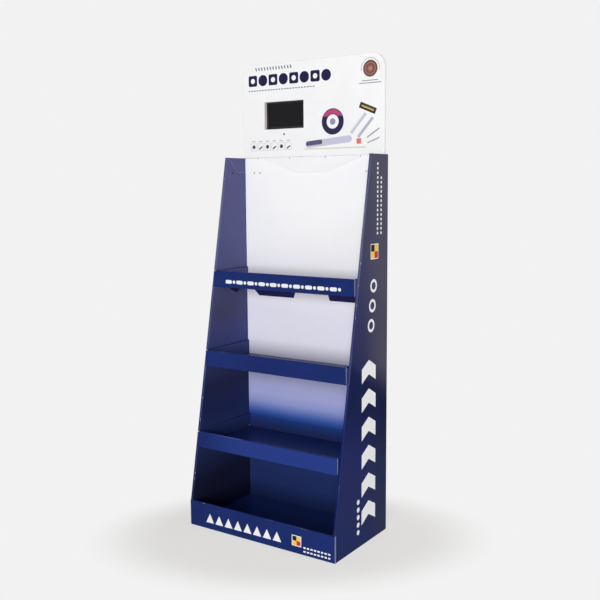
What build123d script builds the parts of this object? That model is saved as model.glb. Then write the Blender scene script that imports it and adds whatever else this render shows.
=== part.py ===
from build123d import *
import math
import os

# A floor-standing cardboard display stand: a double-walled body wrap with a slanted front,
# a back liner, three hung shelf trays, a base tray with a front band, and a header card that
# carries a small video screen. Millimetres, +Z up, the shopper stands on the -Y side, and the
# origin is at the bottom centre of the whole stand.

# Corrugated card
card = 2.5
fold_gap = 0.3
fold_radius = 2.0
fit_gap = 0.3
crease_flat = 0.1

# Body wrap
width = 600.0
depth = 343.0
side_height = 1293.0
top_depth = 114.0
side_hollow = 4.0
back_hollow = 2.2
flange_width = 40.0
liner_side_gap = 0.8
closure_drop = 54.0
closure_slant = 50.0
closure_corner_radius = 16.0

# Tuck flap that closes the back's top edge
tuck_drop = 57.0
tuck_edge_inset = 78.0
tuck_end_run = 153.0

# Punched holes near the top
punched_hole_diameter = 6.2
punched_hole_drop = 54.5
back_hole_insets = (43.0, 69.0)
side_hole_inset = 88.0

# Base tray
band_height = 90.5
band_hollow = 4.0
base_hollow = 6.0
base_side_gap = 0.5

# Shelf trays, each height being that of the tray's underside
lower_shelf_height = 278.0
middle_shelf_height = 561.0
top_shelf_height = 838.0
lip_height = 57.5
lip_hollow = 4.0
lip_proud = 3.0
tray_side_gap = 2.5
tray_wall_hollow = 0.6
tray_wall_height = 57.5

# Flaps and tongues of a shelf tray
rear_flap_drop = 48.0
rear_flap_inner_top = 61.0
rear_flap_inner_bottom = 77.0
rear_flap_outer_slope = 1.2
ear_width = 73.0
ear_rear_inset = 38.0
ear_shoulder = 15.0
ear_drop = 34.0
ear_tip_inset = 32.0
tongue_width = 30.0
tongue_grip = 2.0
tongue_front_inset = 6.0
tongue_rear_inset = 6.0
slot_clearance = 0.5
slot_end_clearance = 1.0

# Header card
header_height = 329.0
header_hollow = 9.0
header_corner_radius = 46.0
header_edge_bevel = 0.8
header_tongue_offset = 75.0
header_tongue_edge_inset = 77.0
header_tongue_width = 30.0
header_tongue_drop = 40.0
header_tongue_taper = 4.0
header_slit_drop = 3.0
window_width = 168.0
window_height = 96.0
window_edge_inset = 96.0
window_rise = 147.0

# Motion sensor under the window
sensor_drop = 66.5
sensor_lens_diameter = 8.0
sensor_body_diameter = 13.0
sensor_body_depth = 6.0
sensor_bevel = 1.0

# Video unit on the header's back
unit_depth = 14.0
unit_wall = 2.0
unit_corner_radius = 4.0
flange_margin = 12.0
flange_corner_radius = 8.0
rim_side = 7.0
rim_top = 4.5
lcd_border_side = 5.5
lcd_border_top = 6.5
lcd_side_gap = 1.5
lcd_top_gap = 1.0
lcd_thickness = 4.0
board_width = 62.0
board_height = 44.0
board_thickness = 1.6
chip_size = 12.0
chip_height = 1.4
battery_board_gap = 19.0
battery_height = 50.0
battery_thickness = 5.0
battery_corner_radius = 2.0
speaker_width = 40.0
speaker_height = 28.0
speaker_thickness = 5.0
speaker_cone_diameter = 22.0
speaker_cone_depth = 1.5
grille_slot_count = 5
grille_slot_length = 24.0
grille_slot_width = 2.0
grille_slot_pitch = 4.5

# Thicknesses and places that follow from the sizes above
side_thickness = 2 * card + side_hollow
back_thickness = 3 * card + fold_gap + back_hollow
band_thickness = 2 * card + band_hollow
base_floor_height = 2 * card + base_hollow
lip_thickness = 2 * card + lip_hollow
tray_wall_thickness = 2 * card + tray_wall_hollow
tray_floor_thickness = 2 * card + fold_gap
header_thickness = 2 * card + header_hollow
aperture_width = window_width - 2 * rim_side
aperture_height = window_height - 2 * rim_top
lcd_width = aperture_width + 2 * lcd_border_side
lcd_height = aperture_height + 2 * lcd_border_top
unit_width = lcd_width + 2 * (lcd_side_gap + unit_wall)
unit_height = lcd_height + 2 * (lcd_top_gap + unit_wall)
battery_width = lcd_width - board_width - battery_board_gap
front_y = -(depth + unit_depth) / 2
rear_y = front_y + depth
foot_y = front_y + band_thickness
top_front_y = rear_y - top_depth
liner_front_y = rear_y - back_thickness
flange_front_y = rear_y - 2 * card - fold_gap
half_width = width / 2
inner_half = half_width - side_thickness
tray_half = inner_half - tray_side_gap
header_front_y = rear_y - header_thickness
header_base_z = side_height
header_half = inner_half
header_tongue_offsets = (header_tongue_offset, header_half - header_tongue_edge_inset)
window_x = -header_half + window_edge_inset + window_width / 2
window_z = header_base_z + window_rise
window_size = (window_width, window_height)
window_centre = (window_x, window_z)
slant_run = top_front_y - front_y
slant_rise = side_height - band_height
slant_length = math.hypot(slant_run, slant_rise)
slant_normal_depth = card * slant_length / slant_rise
closure_front_y = top_front_y + slant_normal_depth + fold_gap
overshoot = depth
fold_reach = 2 * fold_radius + card


def slant_y(z):
    """Where the side panels' slanted front edge lies at height z."""
    return front_y + slant_run * (z - band_height) / slant_rise


def block(x, y, z):
    """A box between the limits x, y and z, each a pair of values."""
    size = [abs(limits[1] - limits[0]) for limits in (x, y, z)]
    middle = [(limits[0] + limits[1]) / 2 for limits in (x, y, z)]
    return Pos(*middle) * Box(*size)


def x_plane(x):
    """A sketch plane at x whose own axes are the stand's Y and Z."""
    return Plane(origin=(x, 0, 0), x_dir=(0, 1, 0), z_dir=(1, 0, 0))


def y_plane(y):
    """A sketch plane at y whose own axes are the stand's X and Z."""
    return Plane(origin=(0, y, 0), x_dir=(1, 0, 0), z_dir=(0, -1, 0))


def outline_face(points, radii=None):
    """A face with the given corners, rounded where radii names a corner by its place."""
    face = make_face(Polyline(*points, close=True))
    for place, radius in (radii or {}).items():
        corner = face.vertices().sort_by_distance(points[place])[0]
        face = fillet(corner, radius)
    return face


def plate_along_x(points, x, radii=None):
    """A plate with the outline points in (y, z) between the two x limits."""
    return extrude(x_plane(x[0]) * outline_face(points, radii), x[1] - x[0])


def plate_along_y(points, y, radii=None):
    """A plate with the outline points in (x, z) between the two y limits."""
    return extrude(y_plane(y[1]) * outline_face(points, radii), y[1] - y[0])


def folded_section(path):
    """The section of a folded sheet whose middle line is path, with rounded folds."""
    middle_line = FilletPolyline(*path, radius=fold_radius) if len(path) > 2 else Line(*path)
    return trace(middle_line, card)


def tight_section(path, radius):
    """The section of a sheet folded back on itself with a small radius."""
    return trace(FilletPolyline(*path, radius=radius), card)


def folded_along_x(path, x):
    """A sheet folded along path in (y, z), running between the two x limits."""
    return extrude(x_plane(x[0]) * folded_section(path), x[1] - x[0])


def folded_along_y(path, y):
    """A sheet folded along path in (x, z), running between the two y limits."""
    return extrude(y_plane(y[1]) * folded_section(path), y[1] - y[0])


def folded_along_z(path, z):
    """A sheet folded along path in (x, y), running between the two z limits."""
    return extrude(Plane.XY.offset(z[0]) * folded_section(path), z[1] - z[0])


def round_bar(diameter, start, length, direction):
    """A cylinder that starts at the point start and runs along direction."""
    return extrude(Plane(origin=start, z_dir=direction) * Circle(diameter / 2), length)


def mirrored(shape):
    """The same shape on the other side of the stand."""
    return mirror(shape, about=Plane.YZ)


def tray_tongue_spans(shelf_height):
    """The front and the rear tongue of a tray's side, as pairs of y limits."""
    wall_front = slant_y(shelf_height) - lip_proud + lip_thickness
    front = wall_front + tongue_front_inset
    rear = liner_front_y - tongue_rear_inset
    return [(front, front + tongue_width), (rear - tongue_width, rear)]


def side_outline(rear):
    """A side panel seen from the side, notched at the foot for the base band."""
    return [
        (foot_y, 0),
        (foot_y, band_height),
        (front_y, band_height),
        (top_front_y, side_height),
        (rear, side_height),
        (rear, 0),
    ]


def side_hairpin():
    """Outer wall, slanted front strip and inner wall of the left side, longer than needed."""
    direction = Vector(0, slant_run, slant_rise).normalized()
    start = Vector(0, front_y, band_height) - direction * overshoot
    section_plane = Plane(origin=start, x_dir=(1, 0, 0), z_dir=direction)
    outer_x = -half_width + card / 2
    inner_x = -inner_half - card / 2
    leg = depth + overshoot
    path = [(outer_x, leg), (outer_x, card / 2), (inner_x, card / 2), (inner_x, leg)]
    return extrude(section_plane * folded_section(path), slant_length + 2 * overshoot)


def side_closure():
    """Top closure of the left side: over the top edge and down on the inner wall."""
    outer_x = -half_width + card / 2
    flap_x = -inner_half + fold_gap + card / 2
    top_z = side_height - card / 2
    path = [
        (outer_x, side_height - fold_reach),
        (outer_x, top_z),
        (flap_x, top_z),
        (flap_x, side_height - closure_drop),
    ]
    closure = folded_along_y(path, (closure_front_y, liner_front_y))
    flap_outline = [
        (closure_front_y, side_height),
        (closure_front_y + closure_slant, side_height - closure_drop),
        (liner_front_y, side_height - closure_drop),
        (liner_front_y, side_height),
    ]
    flap_zone_x = (-inner_half, -inner_half + fold_gap + 2 * card)
    flap_zone_z = (side_height - closure_drop, side_height)
    flap_zone = block(flap_zone_x, (closure_front_y, liner_front_y), flap_zone_z)
    flap = plate_along_x(flap_outline, flap_zone_x, {1: closure_corner_radius})
    return closure - (flap_zone - flap)


def inner_wall_tail():
    """Rear end of the left inner wall, folded behind the back liner as a flange."""
    wall_x = -inner_half - card / 2
    flange_y = flange_front_y + card / 2
    path = [
        (wall_x, liner_front_y - fold_reach),
        (wall_x, flange_y),
        (wall_x + flange_width, flange_y),
    ]
    return folded_along_z(path, (0, side_height - card - fold_gap))


def inner_wall_openings():
    """Slots for the trays' tongues and the punched hole in the left inner wall."""
    wall_x = (-inner_half - card - fold_gap, -inner_half + fold_gap)
    openings = []
    for shelf_height in (lower_shelf_height, middle_shelf_height, top_shelf_height):
        slot_z = (shelf_height, shelf_height + card + slot_clearance)
        for low, high in tray_tongue_spans(shelf_height):
            openings.append(block(wall_x, (low - slot_end_clearance, high + slot_end_clearance), slot_z))
    hole_start = (wall_x[0], top_front_y + side_hole_inset - top_depth / 2, side_height - punched_hole_drop)
    openings.append(round_bar(punched_hole_diameter, hole_start, wall_x[1] - wall_x[0], (1, 0, 0)))
    return openings


def side_panel():
    """The left side of the body wrap, open at the rear and at the foot."""
    corner_start = rear_y - fold_reach
    outer_limits = (-half_width, -half_width + side_thickness / 2)
    inner_limits = (outer_limits[1], -inner_half)
    hairpin = side_hairpin()
    outer_half = hairpin & plate_along_x(side_outline(corner_start), outer_limits)
    inner_half_panel = hairpin & plate_along_x(side_outline(liner_front_y - fold_reach), inner_limits)
    fold_room_z = (side_height - fold_reach, side_height)
    under_fold_z = (side_height - card - fold_gap, side_height)
    outer_half -= block(outer_limits, (closure_front_y, liner_front_y), fold_room_z)
    inner_half_panel -= block(inner_limits, (closure_front_y, rear_y), under_fold_z)
    panel = outer_half + inner_half_panel + side_closure() + inner_wall_tail()
    for opening in inner_wall_openings():
        panel -= opening
    return panel


def outer_back():
    """The rear wall of the body wrap with its two rounded rear folds."""
    wall_x = half_width - card / 2
    wall_y = rear_y - card / 2
    path = [
        (-wall_x, rear_y - fold_reach),
        (-wall_x, wall_y),
        (wall_x, wall_y),
        (wall_x, rear_y - fold_reach),
    ]
    return folded_along_z(path, (0, side_height))


def header_slots():
    """Slits across the back's top fold that take the header's tongues."""
    half_slot = header_tongue_width / 2 + slot_end_clearance
    slot_y = (liner_front_y - card - 2 * fold_gap, rear_y - card - fold_radius)
    slot_z = (side_height - card - header_slit_drop, side_height + card)
    slots = []
    for offset in header_tongue_offsets:
        for x in (-offset, offset):
            slots.append(block((x - half_slot, x + half_slot), slot_y, slot_z))
    return slots


def back_closure():
    """Top of the back: over the edge, then a tapered tuck flap on the liner's face."""
    half_span = inner_half - 2 * card
    wall_y = rear_y - card / 2
    tuck_y = liner_front_y - fold_gap - card / 2
    top_z = side_height - card / 2
    path = [
        (wall_y, side_height - fold_reach),
        (wall_y, top_z),
        (tuck_y, top_z),
        (tuck_y, side_height - tuck_drop),
    ]
    closure = folded_along_x(path, (-half_span, half_span))
    half_top = inner_half - tuck_edge_inset
    half_bottom = half_top - tuck_end_run
    flap_outline = [
        (-half_top, side_height),
        (-half_bottom, side_height - tuck_drop),
        (half_bottom, side_height - tuck_drop),
        (half_top, side_height),
    ]
    zone_y = (liner_front_y - fold_gap - 2 * card, liner_front_y)
    flap_zone = block((-half_span, half_span), zone_y, (side_height - tuck_drop, side_height))
    closure -= flap_zone - plate_along_y(flap_outline, zone_y)
    for slot in header_slots():
        closure -= slot
    return closure


def make_body_wrap():
    """One folded sheet: the back, both outer sides, the front strips and the inner walls."""
    left = side_panel()
    half_span = inner_half - 2 * card
    fold_room_z = (side_height - fold_reach, side_height)
    rear_wall = outer_back() - block((-half_span, half_span), (rear_y - 2 * card, rear_y), fold_room_z)
    return left + mirrored(left) + rear_wall + back_closure()


def make_back_liner():
    """The printed liner in front of the outer back, with its side edges folded back."""
    edge_x = inner_half - liner_side_gap - card / 2
    face_y = liner_front_y + card / 2
    path = [(-edge_x, flange_front_y), (-edge_x, face_y), (edge_x, face_y), (edge_x, flange_front_y)]
    liner = folded_along_z(path, (0, side_height - card - fold_gap))
    slit_span = header_tongue_width / 2 + slot_end_clearance
    for inset in back_hole_insets:
        for x in (inset - inner_half, inner_half - inset):
            start = (x, liner_front_y - card, side_height - punched_hole_drop)
            liner -= round_bar(punched_hole_diameter, start, 3 * card, (0, 1, 0))
    for offset in header_tongue_offsets:
        for x in (-offset, offset):
            notch_z = (side_height - card - header_slit_drop, side_height)
            liner -= block((x - slit_span, x + slit_span), (liner_front_y, liner_front_y + card), notch_z)
    return liner


def rear_flap_outline(shelf_height):
    """The right rear flap of a tray in (x, z), hanging from the tray's rear edge."""
    bottom_z = shelf_height - rear_flap_drop
    outer_top = tray_half - fold_reach
    outer_bottom = tray_half - rear_flap_drop * rear_flap_outer_slope
    return [
        (rear_flap_inner_top, shelf_height + card),
        (rear_flap_inner_top, shelf_height),
        (rear_flap_inner_bottom, bottom_z),
        (outer_bottom, bottom_z),
        (outer_top, shelf_height),
        (outer_top, shelf_height + card),
    ]


def tray_lip_and_floor(shelf_height):
    """Double floor, double front lip and the two hanging rear flaps of a shelf tray."""
    lip_y = slant_y(shelf_height) - lip_proud
    floor_z = shelf_height + card / 2
    top_layer_z = floor_z + card + fold_gap
    rear_flap_y = liner_front_y - card / 2
    path = [
        (liner_front_y - fold_gap, top_layer_z),
        (lip_y + lip_thickness - card / 2, top_layer_z),
        (lip_y + lip_thickness - card / 2, shelf_height + lip_height - card / 2),
        (lip_y + card / 2, shelf_height + lip_height - card / 2),
        (lip_y + card / 2, floor_z),
        (rear_flap_y, floor_z),
        (rear_flap_y, shelf_height - rear_flap_drop),
    ]
    sheet = folded_along_x(path, (-tray_half, tray_half))
    flap_y = (liner_front_y - 2 * card, liner_front_y)
    flap_zone = block((-tray_half, tray_half), flap_y, (shelf_height - rear_flap_drop, shelf_height))
    right_flap = plate_along_y(rear_flap_outline(shelf_height), flap_y)
    sheet -= flap_zone - right_flap - mirrored(right_flap)
    margin_y = (lip_y + lip_thickness + fold_gap, liner_front_y)
    floor_margin = block((tray_half - fold_reach, tray_half), margin_y, (shelf_height, shelf_height + card))
    top_layer_x = (tray_half - tray_wall_thickness - fold_gap, tray_half)
    top_layer_limits = (shelf_height + card, shelf_height + tray_floor_thickness + fold_gap)
    top_margin = block(top_layer_x, margin_y, top_layer_limits)
    margin = floor_margin + top_margin
    return sheet - margin - mirrored(margin)


def ear_outline(shelf_height, direction):
    """The pointed ear of a tray's side in (y, z), hanging down (-1) or standing up (+1)."""
    rear = liner_front_y - ear_rear_inset
    front = rear - ear_width
    root = shelf_height + card if direction < 0 else shelf_height
    shoulder = shelf_height + direction * ear_shoulder
    tip = shelf_height + direction * ear_drop
    return [(front, root), (front, shoulder), (rear - ear_tip_inset, tip), (rear, shoulder), (rear, root)]


def tray_side(shelf_height):
    """Left side wall of a tray: a double wall with an ear and two tongues cut from it."""
    wall_front = slant_y(shelf_height) - lip_proud + lip_thickness + fold_gap
    wall_y = (wall_front, liner_front_y)
    outer_x = -tray_half + card / 2
    inner_x = -tray_half + tray_wall_thickness - card / 2
    top_z = shelf_height + tray_wall_height - card / 2
    floor_z = shelf_height + card / 2
    floor_edge_x = -tray_half + fold_reach
    turn_radius = min(fold_radius, (inner_x - outer_x - crease_flat) / 2)
    wall_path = [
        (inner_x, shelf_height + card + fold_gap),
        (inner_x, top_z),
        (outer_x, top_z),
        (outer_x, floor_z),
        (floor_edge_x, floor_z),
    ]
    wall = extrude(y_plane(wall_y[1]) * tight_section(wall_path, turn_radius), wall_y[1] - wall_y[0])
    outer_layer = (-tray_half, -tray_half + card + fold_gap / 2)
    wall -= plate_along_x(ear_outline(shelf_height, 1), outer_layer)
    tongue_reach = tray_side_gap + card + tongue_grip
    tongue_hole_z = (shelf_height, shelf_height + card + tongue_reach)
    for span in tray_tongue_spans(shelf_height):
        wall -= block(outer_layer, span, tongue_hole_z)
    ear_path = [(floor_edge_x, floor_z), (outer_x, floor_z), (outer_x, shelf_height - ear_drop)]
    rear = liner_front_y - ear_rear_inset
    ear_span = (rear - ear_width, rear)
    ear = folded_along_y(ear_path, ear_span)
    ear_zone = block((-tray_half, -tray_half + 2 * card), ear_span, (shelf_height - ear_drop, shelf_height))
    ear -= ear_zone - plate_along_x(ear_outline(shelf_height, -1), (-tray_half, -tray_half + 2 * card))
    side = wall + ear
    for span in tray_tongue_spans(shelf_height):
        side += block((-tray_half - tongue_reach, floor_edge_x), span, (shelf_height, shelf_height + card))
    return side


def make_shelf_tray(shelf_height):
    """One shelf tray, folded from a single sheet."""
    left = tray_side(shelf_height)
    return tray_lip_and_floor(shelf_height) + left + mirrored(left)


def make_base_tray():
    """Base tray: a hollow floor with a front rib and a double front band, one folded sheet."""
    floor_top_z = base_floor_height - card / 2
    band_top_z = band_height - card / 2
    rear_fold_y = liner_front_y - fit_gap - card / 2
    inner_layer_y = foot_y - card / 2
    rib_y = foot_y + fold_gap + card / 2
    path = [
        (rib_y, card + fold_gap),
        (rib_y, floor_top_z),
        (rear_fold_y, floor_top_z),
        (rear_fold_y, card / 2),
        (front_y + card / 2, card / 2),
        (front_y + card / 2, band_top_z),
        (inner_layer_y, band_top_z),
        (inner_layer_y, card + fold_gap),
    ]
    sheet = folded_along_x(path, (-half_width, half_width))
    floor_half = inner_half - base_side_gap
    waste = block((floor_half, half_width), (foot_y, liner_front_y), (0, band_height))
    return sheet - waste - mirrored(waste)


def header_outline(inset):
    """The header card's outline in (x, z), smaller by inset all round."""
    half = header_half - inset
    low = header_base_z + inset
    high = header_base_z + header_height - inset
    return [(-half, low), (half, low), (half, high), (-half, high)]


def header_shell():
    """The header's two leaves and the creased strip that joins them all round."""
    outer_radius = header_corner_radius
    inner_radius = header_corner_radius - card
    outer_y = (header_front_y, rear_y)
    inner_y = (header_front_y + card, rear_y - card)
    outer = plate_along_y(header_outline(0), outer_y, {2: outer_radius, 3: outer_radius})
    inner = plate_along_y(header_outline(card), inner_y, {2: inner_radius, 3: inner_radius})
    front_edges = outer.edges().filter_by_position(Axis.Y, header_front_y, header_front_y)
    rear_edges = outer.edges().filter_by_position(Axis.Y, rear_y, rear_y)
    outer = chamfer(front_edges + rear_edges, header_edge_bevel)
    return outer - inner


def rounded_block(size, radius, centre, y):
    """A block with rounded corners, of size and centre in (x, z), between the two y limits."""
    face = Pos(*centre) * RectangleRounded(*size, radius)
    return extrude(y_plane(y[1]) * face, y[1] - y[0])


def plain_block(size, centre, y):
    """A block of size and centre in (x, z) between the two y limits."""
    return Pos(centre[0], (y[0] + y[1]) / 2, centre[1]) * Box(size[0], y[1] - y[0], size[1])


def header_tongue(x):
    """One tongue of the header, going down through its slit into the back's hollow."""
    plate_y = header_front_y + card
    tongue_y = liner_front_y + card + card / 2
    bottom_z = header_base_z - header_tongue_drop
    path = [(plate_y, header_base_z + card / 2), (tongue_y, header_base_z + card / 2), (tongue_y, bottom_z)]
    tongue = folded_along_x(path, (x - header_tongue_width / 2, x + header_tongue_width / 2))
    half = header_tongue_width / 2
    half_end = half - header_tongue_taper
    outline = [
        (x - half, header_base_z),
        (x - half_end, bottom_z),
        (x + half_end, bottom_z),
        (x + half, header_base_z),
    ]
    zone_y = (tongue_y - card, tongue_y + card)
    zone = block((x - half, x + half), zone_y, (bottom_z, header_base_z))
    return tongue - (zone - plate_along_y(outline, zone_y))


def make_header_card():
    """The header card with its window, sensor hole and four tongues."""
    header = header_shell()
    for offset in header_tongue_offsets:
        for x in (-offset, offset):
            header += header_tongue(x)
    window_y = (header_front_y - card, rear_y + card)
    header -= plain_block(window_size, window_centre, window_y)
    sensor_start = (window_x, header_front_y - card, window_z - sensor_drop)
    header -= round_bar(sensor_lens_diameter + 2 * fit_gap, sensor_start, 2 * card, (0, 1, 0))
    return header


def make_window_lining():
    """Plain card collar that lines the window between the header's two leaves."""
    lining_y = (header_front_y + card, rear_y - card)
    outer_size = (window_width + 2 * card, window_height + 2 * card)
    outer = rounded_block(outer_size, card, window_centre, lining_y)
    return outer - plain_block(window_size, window_centre, lining_y)


def make_motion_sensor():
    """Sensor with a round body behind the card and a bevelled lens that fills its hole."""
    z = window_z - sensor_drop
    leaf_back = header_front_y + card
    body = round_bar(sensor_body_diameter, (window_x, leaf_back, z), sensor_body_depth, (0, 1, 0))
    lens = round_bar(sensor_lens_diameter, (window_x, header_front_y, z), card, (0, 1, 0))
    front_edge = lens.edges().filter_by_position(Axis.Y, header_front_y, header_front_y)
    return body + chamfer(front_edge, sensor_bevel)


def make_video_housing():
    """Front half of the video unit: a flanged frame with the display's aperture."""
    flange_y = (rear_y, rear_y + unit_wall)
    wall_y = (rear_y, rear_y + unit_depth - unit_wall)
    flange_size = (unit_width + 2 * flange_margin, unit_height + 2 * flange_margin)
    flange = rounded_block(flange_size, flange_corner_radius, window_centre, flange_y)
    walls = rounded_block((unit_width, unit_height), unit_corner_radius, window_centre, wall_y)
    room_size = (unit_width - 2 * unit_wall, unit_height - 2 * unit_wall)
    room_radius = unit_corner_radius - unit_wall
    room_y = (flange_y[1], wall_y[1])
    room = rounded_block(room_size, room_radius, window_centre, room_y)
    aperture_size = (aperture_width, aperture_height)
    aperture = plain_block(aperture_size, window_centre, flange_y)
    return flange + walls - room - aperture


def make_lcd_panel():
    """The flat display behind the aperture."""
    panel_y = (rear_y + unit_wall, rear_y + unit_wall + lcd_thickness)
    return plain_block((lcd_width, lcd_height), window_centre, panel_y)


def inner_floor_y():
    """The plane of the display's back, which carries the board, battery and speaker."""
    return rear_y + unit_wall + lcd_thickness


def make_controller_board():
    """Circuit board with three chips and a plug socket on the display's back."""
    x = window_x + lcd_width / 2 - board_width / 2
    z = window_z + lcd_height / 2 - board_height / 2
    base_y = inner_floor_y()
    top_y = base_y + board_thickness
    board = Pos(x, (base_y + top_y) / 2, z) * Box(board_width, board_thickness, board_height)
    for step in (-1, 0, 1):
        chip_x = x + step * board_width / 4
        chip = Pos(chip_x, top_y + chip_height / 2, z) * Box(chip_size, chip_height, chip_size)
        board += chip
    socket_z = z - board_height / 2 + chip_size / 4
    board += Pos(x, top_y + chip_height, socket_z) * Box(chip_size, 2 * chip_height, chip_size / 2)
    return board


def make_battery_pack():
    """Flat pouch cell on the display's back."""
    x = window_x - lcd_width / 2 + battery_width / 2
    base_y = inner_floor_y()
    cell_y = (base_y, base_y + battery_thickness)
    return rounded_block((battery_width, battery_height), battery_corner_radius, (x, window_z), cell_y)


def speaker_place():
    """Centre of the speaker in x and z, in the free corner beside the battery."""
    x = window_x + lcd_width / 2 - speaker_width / 2
    z = window_z - lcd_height / 2 + speaker_height / 2
    return x, z


def make_speaker():
    """Small oval speaker with a dished cone."""
    x, z = speaker_place()
    base_y = inner_floor_y()
    frame_y = (base_y, base_y + speaker_thickness)
    frame = rounded_block((speaker_width, speaker_height), speaker_height / 3, (x, z), frame_y)
    dish_start = (x, frame_y[1] - speaker_cone_depth, z)
    return frame - round_bar(speaker_cone_diameter, dish_start, speaker_cone_depth, (0, 1, 0))


def make_video_back_cover():
    """Rear cover of the video unit with slots in front of the speaker."""
    cover_y = (rear_y + unit_depth - unit_wall, rear_y + unit_depth)
    cover = rounded_block((unit_width, unit_height), unit_corner_radius, window_centre, cover_y)
    x, z = speaker_place()
    for place in range(grille_slot_count):
        slot_z = z + (place - (grille_slot_count - 1) / 2) * grille_slot_pitch
        slot_size = (grille_slot_length, grille_slot_width)
        cover -= plain_block(slot_size, (x, slot_z), cover_y)
    return cover


def make_parts():
    """Every piece of the stand by its name."""
    return {
        "body_wrap": make_body_wrap(),
        "back_liner": make_back_liner(),
        "lower_shelf_tray": make_shelf_tray(lower_shelf_height),
        "middle_shelf_tray": make_shelf_tray(middle_shelf_height),
        "top_shelf_tray": make_shelf_tray(top_shelf_height),
        "base_tray": make_base_tray(),
        "header_card": make_header_card(),
        "window_lining": make_window_lining(),
        "motion_sensor": make_motion_sensor(),
        "video_housing": make_video_housing(),
        "lcd_panel": make_lcd_panel(),
        "controller_board": make_controller_board(),
        "battery_pack": make_battery_pack(),
        "speaker": make_speaker(),
        "video_back_cover": make_video_back_cover(),
    }


def main():
    os.makedirs("parts", exist_ok=True)
    for name, shape in make_parts().items():
        solids = shape.solids()
        solid = solids[0] if len(solids) == 1 else Compound(children=solids)
        solid.label = name
        export_step(solid, f"parts/{name}.step")
        print(name, "solids", len(solids), "volume", round(sum(s.volume for s in solids)))


main()
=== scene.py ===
import math
from collections import defaultdict

import bpy
import bmesh
from mathutils import Matrix, Vector


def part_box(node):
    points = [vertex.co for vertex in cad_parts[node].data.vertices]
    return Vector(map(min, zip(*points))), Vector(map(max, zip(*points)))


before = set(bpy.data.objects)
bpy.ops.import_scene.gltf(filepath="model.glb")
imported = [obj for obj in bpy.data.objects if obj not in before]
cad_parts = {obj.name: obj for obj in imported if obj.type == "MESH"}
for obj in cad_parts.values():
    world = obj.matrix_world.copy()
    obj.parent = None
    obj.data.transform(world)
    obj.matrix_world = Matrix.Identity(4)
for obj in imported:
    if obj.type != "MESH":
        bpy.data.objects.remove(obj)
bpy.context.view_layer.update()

# The looks of a cardboard display stand. The CAD nodes keep their shapes: each card node's faces are
# sorted into printed faces, creases, raw cut edges and plain reverse faces, and every kind gets its
# own procedural material. Metres, in the frame of the CAD model.

# Camera
CAMERA_PLACE = (1.66563, -2.38193, 1.19166)
CAMERA_YAW = 34.08
CAMERA_PITCH = 7.58
CAMERA_ROLL = -0.42
CAMERA_LENS = 51.51

# Colours as written in the finished picture
NAVY = (30, 48, 112)
DEEP_NAVY = (25, 41, 97)
# Painted light on the lower lip's front
LIT_LOWER_LIP_NAVY = (39, 60, 133)
SHELF_NAVY = (35, 50, 108)
PALE_SHELF_NAVY = (42, 60, 124)
# Painted light on the base tray's floor
LIT_BASE_FLOOR_NAVY = (48, 68, 142)
# Painted shade on the top tray's ears, under its lip
SHADED_EAR_NAVY = (30, 36, 84)
# Painted shade on the top tray's rear flaps, which hang under its floor
SHADED_REAR_FLAP_NAVY = (38, 36, 86)
WHITE_PRINT = (249, 249, 250)
LIP_WHITE = (240, 240, 243)
RAW_EDGE = (245, 243, 240)
NAVY_SHEET_EDGE = (128, 138, 166)
TRAY_EDGE = (142, 158, 190)
FLAP_EDGE = (104, 104, 140)
GREY_BOARD = (198, 192, 182)
LINING_BEIGE = (252, 238, 240)
SCUFF = (176, 178, 190)
PALE_SCUFF = (160, 190, 220)
HOLE_SHADE = (14, 16, 50)
RUBBED_BLUE = (142, 152, 216)
PALE_RIM_WHITE = (243, 243, 239)
DARK_INK = (38, 34, 74)
GREY_INK = (122, 124, 142)
SIGNAL_YELLOW = (244, 206, 92)
SIGNAL_RED = (214, 58, 62)
SIGNAL_BLACK = (40, 38, 44)
BACKGROUND = (242, 242, 242)

# Widths and angles for sorting faces
RAW_EDGE_WIDTH = 0.0029
FOLD_FACET_WIDTH = 0.0030
SAME_SHEET_ANGLE = math.radians(50)
SAME_PLANE_ANGLE = math.radians(1.5)
FOLD_MIDDLE = math.cos(math.radians(28))

# Corrugated card
FLUTE_PITCH = 0.0064

# How much the kinds of surface shine, as the shader's specular level
CARD_SHINE = 0.1
PRINT_SHINE = 0.06
WRAP_SHINE = 0.03
FOLD_SHINE = 0.15
WRAP_FOLD_SHINE = 0.12
FLOOR_SHINE = 0.38


def linear(value):
    """One channel of a written colour as the linear value that Blender works with."""
    value /= 255
    return value / 12.92 if value <= 0.04045 else ((value + 0.055) / 1.055) ** 2.4


def colour(rgb):
    """A written colour as a linear RGBA tuple."""
    return tuple(linear(channel) for channel in rgb) + (1.0,)


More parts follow.
